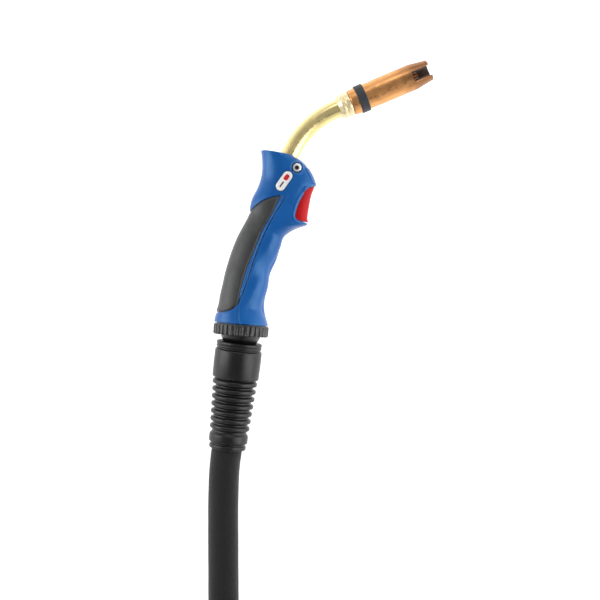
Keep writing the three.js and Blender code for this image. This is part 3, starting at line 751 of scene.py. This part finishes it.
def section(at, inset, sides, shrink=1.0, lift=0.0, depth=None, power=None):
    """Evenly spaced points round the handle where station number at lies, in mm."""
    bx, by, fx, fy, thick, square = station(at)
    half = np.array([fx - bx, fy - by]) / 2
    across = unit(half)
    centre = np.array([bx, by]) + half + lift * np.array([-across[1], across[0]])
    width = (np.linalg.norm(half) - inset) * shrink
    thick = ((depth or thick) - inset) * shrink
    angle = math.pi * np.linspace(0, 2, 8 * sides + 1)
    c, s = np.cos(angle), np.sin(angle)
    n = 2 / (power or square)
    wide, high = np.sign(c) * np.abs(c) ** n * width, np.sign(s) * np.abs(s) ** n * thick
    run = np.concatenate([[0], np.cumsum(np.hypot(np.diff(wide), np.diff(high)))])
    even = run[-1] * (np.arange(sides) + 0.5) / sides
    flat = centre + np.interp(even, run, wide)[:, None] * across
    return np.column_stack([flat, np.interp(even, run, high)])


def handle_form(name, inset, first, last, per, sides, relief=None, cap=True, **shape):
    """The handle between two stations, inset all round; cap rounds its last end off, and
    relief(points) moves its surface outwards."""
    count = round((last - first) * per)
    rings = [section(first + (last - first) * i / count, inset, sides, **shape)
             for i in range(count + 1)]
    if cap:
        for turn in np.linspace(0, math.pi / 2, 12)[1:-1]:
            rings.append(section(last, inset, sides, math.cos(turn), 1.9 * math.sin(turn) ** 0.6))
    rings = np.array(rings)
    if relief:
        ahead = np.gradient(rings, axis=0)
        around = np.roll(rings, -1, 1) - np.roll(rings, 1, 1)
        normal = np.cross(around, ahead)
        normal /= np.linalg.norm(normal, axis=2)[..., None] + 1e-12
        middle = rings.mean(1, keepdims=True)
        flip = np.sign(((rings - middle) * normal).sum(2).mean())
        flat = rings.reshape(-1, 3)
        rings = rings + (normal * flip) * relief(flat).reshape(rings.shape[:2])[..., None]
    return skin(name, place(rings))


NECK_ANGLE, NOZZLE_ANGLE = math.radians(73), math.radians(23)
NECK_START = np.array([44.8, 164.3, 0.0])
NECK_AXIS = np.array([math.cos(NECK_ANGLE), math.sin(NECK_ANGLE), 0.0])
NECK_RIGHT = np.array([NECK_AXIS[1], -NECK_AXIS[0], 0.0])
NECK_BEND = 90.0
NECK_RADIUS, NECK_BORE = 9, 7.2
NECK_FROM, NECK_PAST, NECK_SIDES = -63.5, 14, 64
BEND_CENTRE = NECK_START + NECK_BEND * NECK_RIGHT
NOZZLE_AXIS = np.array([math.cos(NOZZLE_ANGLE), math.sin(NOZZLE_ANGLE), 0.0])
NOZZLE_START = BEND_CENTRE + NECK_BEND * np.array([-NOZZLE_AXIS[1], NOZZLE_AXIS[0], 0.0])
NUT_LEAN = math.radians(4.6)
NUT_AXIS = np.array([math.sin(NUT_LEAN), math.cos(NUT_LEAN), 0.0])
SCREW = np.array([55.9, 161.0, 0.0])
SCREW_SINK = 5.3
TRIGGER_PIN = np.array([61.5, 140.0, 0.0])
TRIGGER_PRESS = math.radians(-4)
PIN_BORE = 1.8
SWITCH, SWITCH_TILT = np.array([52.4, 120]), math.radians(-17)
SHELL_FOOT = 5.8
BADGE = np.array([43.3, 147.5])
BADGE_TURN = math.radians(55)
BADGE_SINK = (22.2, 10)
FINGER_CREST, FINGER_PITCH = 86, 45
CLEAR = 40  # further than any surface of the handle from its middle plane

inlay_line = np.vstack([
    spline([[39.4, 133.2], [30, 131], [19, 126.2], [8, 117], [-1, 108]], 5)[:-5],
    [[7.5, 117], [-45, 117], [-45, 17]],
    spline([[-21.6, 18.1], [-10.4, 20.2], [-4.8, 23.7], [-2, 28], [-0.6, 36], [2.9, 49.7],
            [7.4, 64], [13.4, 78.5], [21.8, 98.8], [32.4, 117.5], [39.4, 133.2]], 6)[:-1],
])
crescent_line = np.vstack([
    [[90, 143.2]],
    spline([[73.6, 143.2], [70, 141.6], [65.3, 138.1], [59.7, 129.7], [56.2, 121.2],
            [54.4, 114.2], [55, 111.2], [57.2, 109.4], [66, 107.1], [78, 104]], 6),
    [[90, 101]],
])
TRIGGER = np.array([[90, 142.3], [72.2, 142.3], [67.5, 141.2], [62, 144.4], [58, 142],
                    [58.4, 137.1], [49.9, 109.6], [52.4, 108.6], [63, 108.6], [72, 106.3],
                    [90, 101.8]])
crease_line = spline([[44.3, 132.5], [38.7, 122.7], [28.9, 105.8], [20.4, 87.6], [13.4, 69.3],
                      [8.5, 53.9], [3.6, 39.9], [-1.3, 27.2], [-1.7, 18], [-1.6, 7]], 6)


def bell(distance, width):
    return np.exp(-(distance / width) ** 2)


def pill_distance(points, length, width):
    local = (points - BADGE) @ rotation(-BADGE_TURN)
    beyond = np.maximum(np.abs(local[:, 0]) - (length - width) / 2, 0)
    return np.hypot(beyond, local[:, 1]) - width / 2


def shell_relief(points, grip=1.2):
    """Moulded detail of the shells, as a distance along the surface normal in mm. grip is the
    height of the waves for the fingers."""
    flat, z = points[:, :2], points[:, 2]
    x, y = flat.T
    facing = smoothstep((np.abs(z) - 3) / 5)
    crease = segment_distance(flat, crease_line)
    fade = 1 - 0.55 * smoothstep((30 - y) / 6)
    change = -0.9 * bell(crease, 0.65) * facing * fade + 0.22 * bell(crease - 2.2, 1.3) * facing
    ahead = x - np.interp(y, crease_line[::-1, 1], crease_line[::-1, 0])
    fingers = np.cos((y - FINGER_CREST) * math.tau / FINGER_PITCH) * smoothstep((y - 10) / 12)
    change += grip * fingers * smoothstep((ahead - 2) / 9) * smoothstep((104 - y) / 12) * facing
    edge = signed_distance(flat, inlay_line)
    change += -0.75 * bell(np.maximum(edge, 0), 0.8)
    rim = signed_distance(flat, crescent_line)
    change += (0.55 * bell(rim - 2.1, 1.25) - 1.1 * bell(np.maximum(rim, 0), 0.7)) * facing
    screw = np.hypot(x - SCREW[0], y - SCREW[1]) - SCREW_SINK
    change += (0.3 * bell(screw - 1.2, 0.7) - 0.6 * bell(np.maximum(screw, 0), 0.5)) * facing
    badge = pill_distance(flat, *BADGE_SINK)
    change += np.where(z > 0, -0.45 * bell(np.maximum(badge, 0), 0.55), 0)
    change += -0.35 * bell(z, 0.4)
    above_nut = flat @ NUT_AXIS[:2] - SHELL_FOOT
    change += -0.9 * bell(np.maximum(above_nut, 0), 0.8)
    visor = (x - 63.2) * 0.896 + (y - 162.5) * 0.444
    step = smoothstep(visor / 0.7) * smoothstep((161.6 - y) / 0.9) * smoothstep((y - 143.4) / 0.8)
    change += 0.55 * step - 0.3 * bell(visor + 0.3, 0.5) * (y < 162) * (y > 143.4) * facing
    return change


def mark_creases(piece):
    """Stores how deep each point lies in a groove of the relief, 0 to 1, for the painted shade in
    the grooves.
    """
    mesh = piece.data
    points = np.zeros(len(mesh.vertices) * 3)
    mesh.vertices.foreach_get("co", points)
    depth = -shell_relief((points.reshape(-1, 3) - PIVOT) / MM, grip=0.0)
    crease = mesh.attributes.new("crease", "FLOAT", "POINT")
    crease.data.foreach_set("value", np.clip(depth / 0.6 - 0.1, 0, 1))


def inlay_relief(points):
    """The soft grip stands a little proud, with a rolled edge."""
    edge = -signed_distance(points[:, :2], inlay_line)
    return 0.35 - 1.15 * bell(np.maximum(edge, 0), 1.1) - 0.3 * bell(points[:, 2], 0.4)


def neck_stations(first, last):
    """Points and headings along the neck, from a distance before its bend to one past it."""
    out = [(NECK_START + NECK_AXIS * s, NECK_AXIS) for s in np.arange(first, 0, 2.0)]
    for a in np.linspace(NECK_ANGLE, NOZZLE_ANGLE, 34):
        ahead = np.array([math.cos(a), math.sin(a), 0.0])
        out.append((BEND_CENTRE + NECK_BEND * np.array([-ahead[1], ahead[0], 0.0]), ahead))
    out += [(NOZZLE_START + NOZZLE_AXIS * s, NOZZLE_AXIS) for s in np.linspace(0, last, 6)[1:]]
    return out


def neck_rings(radius, first, last):
    angle = circle(NECK_SIDES)
    rings = []
    for centre, ahead in neck_stations(first, last):
        spoke = np.array([-ahead[1], ahead[0], 0.0])
        rings.append(centre + radius * (np.cos(angle)[:, None] * spoke
                                        + np.sin(angle)[:, None] * np.array(UP)))
    return np.array(rings)


cavity = handle_form("cavity", 4.5, 1, LAST - 1, 2, 32, cap=False)
shell = handle_form("shell", 0, 0, LAST, 20, 300, shell_relief)
boolean(shell, "DIFFERENCE", rod("below", 60, -60, SHELL_FOOT, PIVOT, NUT_AXIS, 8))
boolean(shell, "UNION", rod("spigot", 25, 0.5, 9, PIVOT, NUT_AXIS, 96))
boolean(shell, "DIFFERENCE", cavity, ball("socket", 23.4))
boolean(shell, "UNION", rod("boss", 4.2, -17, 17, place(SCREW), UP),
        rod("pin_boss", 3.4, -17, 17, place(TRIGGER_PIN), UP))
inside = handle_form("inside", 2.1, 0, LAST, 4, 96)
bed = boolean(prism("bed", grown(inlay_line, GAP), -CLEAR, CLEAR), "DIFFERENCE", inside)
room = grown(TRIGGER, 0.6)
pressed_room = (room - TRIGGER_PIN[:2]) @ rotation(TRIGGER_PRESS) + TRIGGER_PIN[:2]
boolean(
    shell, "DIFFERENCE", bed,
    skin("neck_bore", place(neck_rings(9.4, -80, 20))),
    prism("crescent", crescent_line, -CLEAR, CLEAR),
    prism("room", room, -14, 14),
    prism("pressed_room", pressed_room, -14, 14),
    rod("screw_bore", 2.3, -CLEAR, CLEAR, place(SCREW), UP),
    rod("screw_sink", SCREW_SINK, 13, CLEAR, place(SCREW), UP, 64),
    rod("nut_sink", SCREW_SINK, -CLEAR, -12.2, place(SCREW), UP, 64),
    rod("pin_bore", PIN_BORE, -16.5, 16.5, place(TRIGGER_PIN), UP),
)


def pill(length, width):
    half = (length - width) / 2
    turn = np.linspace(-math.pi / 2, math.pi / 2, 14)
    right = np.column_stack([half + width / 2 * np.cos(turn), width / 2 * np.sin(turn)])
    return np.vstack([right, -right]) @ rotation(BADGE_TURN) + BADGE


boolean(shell, "DIFFERENCE", prism("badge_sink", pill(*BADGE_SINK), 18.4, CLEAR))
inlay = handle_form("inlay", 0, 0, LAST, 16, 260, inlay_relief)
boolean(inlay, "DIFFERENCE", handle_form("under", 1.8, 0, LAST, 4, 96))
boolean(inlay, "INTERSECT", prism("inlay_prism", inlay_line, -CLEAR, CLEAR))
halves = [[-200, -100], [200, -100], [200, 300], [-200, 300]]
for whole, parts in ((shell, ("handle_shell_right", "handle_shell_left")),
                     (inlay, ("grip_inlay_right", "grip_inlay_left"))):
    for node, low, high in zip(parts, (0.1, -60), (60, -0.1)):
        half = copy_of(whole, node.replace("handle_shell", "shell").replace("grip_inlay", "inlay"))
        boolean(half, "INTERSECT", prism("side", halves, low, high))
        finished(half, "blue_shell" if "shell" in node else "soft_grey", "handle", [node], 34)
        if "shell" in node:
            mark_creases(half)
    bpy.data.objects.remove(whole)


# ---- badge and screw
def plate(name, outlines, heights):
    """A rounded plate: each outline lies at its height, the last one closes the top."""
    rings = [np.column_stack([o, np.full(len(o), h)]) for o, h in zip(outlines, heights)]
    return skin(name, place(rings))


# Length, width and height of each outline of the badge.
badge_sizes = [(21.6, 9.4, 18.6), (21.6, 9.4, 19.5), (21.3, 9.1, 19.9), (20.7, 8.5, 20.15),
               (19.7, 7.5, 20.25), (19.1, 6.9, 20.1), (18.7, 6.5, 20.05)]
finished(plate("badge_plate", [pill(a, b) for a, b, _ in badge_sizes],
               [h for *_, h in badge_sizes]), "badge_white", "handle", ["name_badge"])


def bar(name, along_badge, length, width, high, material):
    """A small raised bar on the badge, along its length."""
    corner = np.array([[1, 1], [-1, 1], [-1, -1], [1, -1]]) * [length / 2, width / 2]
    outlines = []
    for shrink in (0.0, 0.0, 0.12, 0.35):
        outline = rounded(corner * (1 - 2 * shrink / np.array([length, width])),
                          0.45 * width, 5)
        outlines.append((outline + [along_badge, 0]) @ rotation(BADGE_TURN) + BADGE)
    heights = (20.0, high - 0.12, high - 0.03, high)
    return finished(plate(name, outlines, heights), material, "handle")


bar("badge_bar_red", 4.3, 6.4, 4.2, 20.32, "badge_red")
bar("badge_bar_dark", -4.0, 6.6, 1.5, 20.25, "badge_dark")

screw_head = turned("head_screw_top", [
    [0.05, -15.2], [1.9, -15.2], [1.9, 13.3], [4.55, 13.3], [4.55, 15.4], [4.1, 16.1],
    [3.2, 16.4], [0.05, 16.4],
], place(SCREW), UP, 64, 0.25)
hexagon = rod("hexagon", 2.3, 14.6, 20, place(SCREW), UP, 6)
finished(boolean(screw_head, "DIFFERENCE", hexagon), "zinc_steel", "handle", ["head_screw"])
finished(turned("head_screw_back_nut", [
    [2.1, -15.6], [4.3, -15.6], [4.3, -12.5], [2.1, -12.5],
], place(SCREW), UP, 6, 0.25), "zinc_steel", "handle", ["head_screw_nut"])

# ---- trigger
finger = handle_form("trigger_lever", 0.4, 8, 17, 20, 260, cap=False, depth=13.9, power=3.0)
boolean(finger, "INTERSECT", prism("trigger_prism", rounded(TRIGGER, 1.2), -30, 30))
pocket = np.array([[-4.5, -20], [4.5, -20], [4.5, 20], [-4.5, 20]])
pocket = pocket @ rotation(SWITCH_TILT) + SWITCH
boolean(finger, "DIFFERENCE", prism("switch_pocket", pocket, -10, 10),
        rod("pin_hole", PIN_BORE, -20, 20, place(TRIGGER_PIN), UP))
finished(finger, "red_trigger", "trigger_body", ["trigger"], 34)

# ---- swan neck and nozzle
neck_out, neck_in = (neck_rings(r, NECK_FROM, NECK_PAST) for r in (NECK_RADIUS, NECK_BORE))
neck = skin("neck_pipe", place(np.concatenate([neck_out, neck_in[::-1]])), loop=True)
layer = neck.data.uv_layers.new(name="along")
run = lengths_along(np.array([c for c, _ in neck_stations(NECK_FROM, NECK_PAST)])) * MM
run = np.concatenate([run, run[::-1]])
girth = math.tau * NECK_RADIUS * MM
for loop in neck.data.loops:
    row, column = divmod(loop.vertex_index, NECK_SIDES)
    layer.data[loop.index].uv = (column / NECK_SIDES * girth, run[row])
finished(neck, "neck_brass", "handle", ["neck_tube"])

NOZZLE_FROM = 15.5
SLOT_AT, SLOT_DEPTH, SLOT_HALF, SLOT_TURN = 77.2, 11.0, 5.1, math.radians(6)


def on_nozzle(name, profile, start=NOZZLE_FROM, **options):
    """A turned piece on the nozzle's axis, with its heights from the nozzle's back edge."""
    profile = [[r, start + s] for r, s in profile]
    return turned(name, profile, place(NOZZLE_START), NOZZLE_AXIS, **options)


def nozzle_part(name, material, node, profile, body="handle", **options):
    finished(on_nozzle(name, profile, **options), material, body, [node])


nozzle_part("neck_collar", "turned_brass", "neck_end_collar", [
    [9.3, 2.2], [10.2, 2.2], [12.0, 5.6], [12.3, 6.2], [12.3, 8.2], [11.2, 8.8], [11.2, 10],
    [12.3, 10.6], [12.3, 13.4], [11.9, 15.2], [9.3, 15.2],
], start=0, fillet=0.5)
nozzle_part("nozzle_isolator", "black_plastic", "nozzle_insulator", [
    [7.4, 0.6], [9.6, 0.6], [9.6, 17], [7.4, 17],
], fillet=0.5)
nozzle_part("tip_adaptor", "turned_brass", "tip_holder", [
    [2.5, 1.2], [7, 1.2], [7, 19], [5.6, 21], [5.6, 34], [4.4, 36], [4.4, 38], [2.5, 38],
])
nozzle_part("gas_diffuser_ring", "diffuser_white", "gas_diffuser", [
    [5.9, 22], [8.6, 22], [9, 24], [9, 33], [7.4, 36], [5.9, 36],
], fillet=0.5)
nozzle_part("contact_tip_body", "shaded_tip_copper", "contact_tip", [
    [0.9, 38.3], [4.9, 38.3], [4.9, 44], [4.6, 44.3], [4.6, 45.2], [4.9, 45.5], [4.9, 61],
    [2.9, 72], [0.9, 72],
], fillet=0.3)

nozzle = on_nozzle("nozzle_cup", [
    [9.9, 0], [12.4, 0], [12.9, 1], [12.9, 24], [13.2, 28], [13.2, 67], [12.6, 71], [10.9, 82],
    [10.6, 85.2], [8.3, 85.2], [8.6, 74], [10.1, 66], [10.1, 20],
], sides=160, fillet=0.9)
outline = rounded([[20, -SLOT_HALF], [-SLOT_DEPTH, -SLOT_HALF], [-SLOT_DEPTH, SLOT_HALF],
                   [20, SLOT_HALF]], 1.0, 5)
for k in range(3):
    points = np.array([[[s + NOZZLE_FROM + SLOT_AT, w, r] for s, w in outline] for r in (6, 22)])
    points[..., 1:] = points[..., 1:] @ rotation(math.tau * k / 3 + SLOT_TURN)
    points[..., :2] = points[..., :2] @ rotation(NOZZLE_ANGLE)
    boolean(nozzle, "DIFFERENCE", skin("slot", place(points + NOZZLE_START)))
finished(nozzle, "copper", "nozzle", ["gas_nozzle"])
nozzle_part("nozzle_clip_band", "slate_band", "nozzle_band", [
    [13.1, 7.4], [14.1, 7.4], [14.25, 8.0], [14.25, 15.6], [14.1, 16.2], [13.1, 16.2],
], "nozzle", fillet=0.35)

# ---- ball joint and bend relief
finished(turned("collar_nut_ribbed", [
    [20.75, -4.8], [20.6, -5.5], [26.4, -5.5], [27.5, -4.6], [27.5, 4.4], [26.6, 5.5],
    [25.3, 5.5], [25.3, 0.2], [23.4, 0.2], [22.9, -4.8],
], PIVOT, NUT_AXIS, 384, 0.35, fluted(32, 1.25, -6.2, 4.6, 2.2, 26)), "black_plastic",
    "collar", ["collar_nut"])

BALL = 20.5
ball_outline = [[BALL * math.cos(a), -BALL * math.sin(a)]
                for a in np.radians(np.arange(48, -38.1, -4))]
finished(turned("ball_stem_body", [[13.9, -15.1]] + ball_outline + [
    [16.1, 13.6], [16, 48.3], [9.3, 48.3], [9.3, -2], [10.4, -4],
], PIVOT, HOSE_DOWN, 96, 0.3), "black_plastic", "hose_pack", ["ball_stem"])

relief = [[17.6, 12.2], [22.3, 12.2], [22.7, 13.0], [22.7, 14.8], [21.7, 15.5], [22.6, 16.2],
          [22.6, 17.6], [21.6, 18.3], [22.0, 18.9], [22.0, 19.5], [21.4, 19.9], [23.4, 20.3],
          [23.5, 34], [23.2, 48.4], [19.6, 49.4]]
for i in range(7):
    middle, crest, valley = 53.5 + 7.5 * i, 22.4 - 0.4 * i, 19.0 - 0.25 * (i + 1)
    relief += [[crest, middle - 1.9], [crest, middle + 1.5], [valley, middle + 2.5],
               [valley, middle + 4.7]]
relief += [[19.5, 105.6], [19.5, 113.4], [17.3, 114.3], [17.3, 115.7], [18.5, 116.3],
           [18.5, 120], [16.6, 120], [16.6, 13.8]]
finished(turned("bend_relief_boot", relief, PIVOT, HOSE_DOWN, 128, 1.3), "black_rubber",
         "hose_pack", ["bend_relief"])

# ---- pieces kept from the CAD
KEPT = {
    "switch_body": "black_plastic", "switch_plunger": "red_trigger",
    "switch_lead_1": "black_rubber", "switch_lead_2": "black_rubber",
    "trigger_pin": "zinc_steel", "neck_core_tube": "shaded_tip_copper", "wire_liner": "spring_steel",
    "neck_socket": "turned_brass", "neck_sleeve": "black_plastic", "power_cable": "black_rubber",
    "ball_seat": "black_plastic", "hose_core": "black_rubber",
}
for node, material in KEPT.items():
    piece = frame["nodes"][node]
    piece.data.materials.clear()
    piece.data.materials.append(MATERIALS[material])

# ---- bench and light
bench = new_material("bench")
pale = bench.mix(bench.span(bench.noise(3.0), 0.3, 0.7), (0.86, 0.86, 0.86, 1.0),
                 (0.9, 0.9, 0.9, 1.0))
bench.finish(Base_Color=pale, Roughness=0.9, Specular_IOR_Level=0.1,
             Emission_Color=(1.0, 1.0, 1.0, 1.0), Emission_Strength=0.7)
floor = new_mesh("bench_top", [[-6, -6, 0], [6, -6, 0], [6, 6, 0], [-6, 6, 0]], [[0, 1, 2, 3]])
floor.data.materials.append(MATERIALS["bench"])

world = bpy.data.worlds.new("studio")
scene.world = world
dome = Graph(world)
background = dome.tree.nodes["Background"]
background.inputs["Color"].default_value = (1.0, 1.0, 1.0, 1.0)
sky = dome.coord.outputs["Generated"]
# Bright at the horizon and dimmer above, with a dark upright band for the metals to reflect.
aside = dome.node("ShaderNodeVectorMath", {0: sky, 1: (0.75, -0.66, 0.0)}, out=1,
                  operation="DOT_PRODUCT")
band = dome.times(dome.span(aside, 0.36, 0.48), dome.span(aside, 0.6, 0.7, 1.0, 0.0))
glow = dome.times(dome.span(dome.axis("Z", sky), 0.2, 0.9, 1.0, 0.34),
                  dome.span(band, 0.0, 1.0, 1.0, 0.05))
dome.put(background.inputs["Strength"], glow)


def softbox(name, place_at, size, power, aim=(0, 0, 0)):
    data = bpy.data.lights.new(name, "AREA")
    data.shape = "RECTANGLE"
    data.size, data.size_y = size
    data.energy = power
    made = bpy.data.objects.new(name, data)
    made.location = place_at
    made.rotation_mode = "QUATERNION"
    made.rotation_quaternion = (Vector(aim) - Vector(place_at)).to_track_quat("-Z", "Y")
    scene.collection.objects.link(made)


softbox("key_left", (-1.8, 0.2, 0.6), (0.7, 2.2), 26)
softbox("fill_right", (1.8, 0.1, 0.5), (0.7, 2.2), 22)
softbox("high_right", (1.3, -0.5, 0.85), (0.35, 1.6), 9)
softbox("top_back", (0.2, 1.5, 1.2), (1.6, 0.6), 6, (0, 0.1, 0))
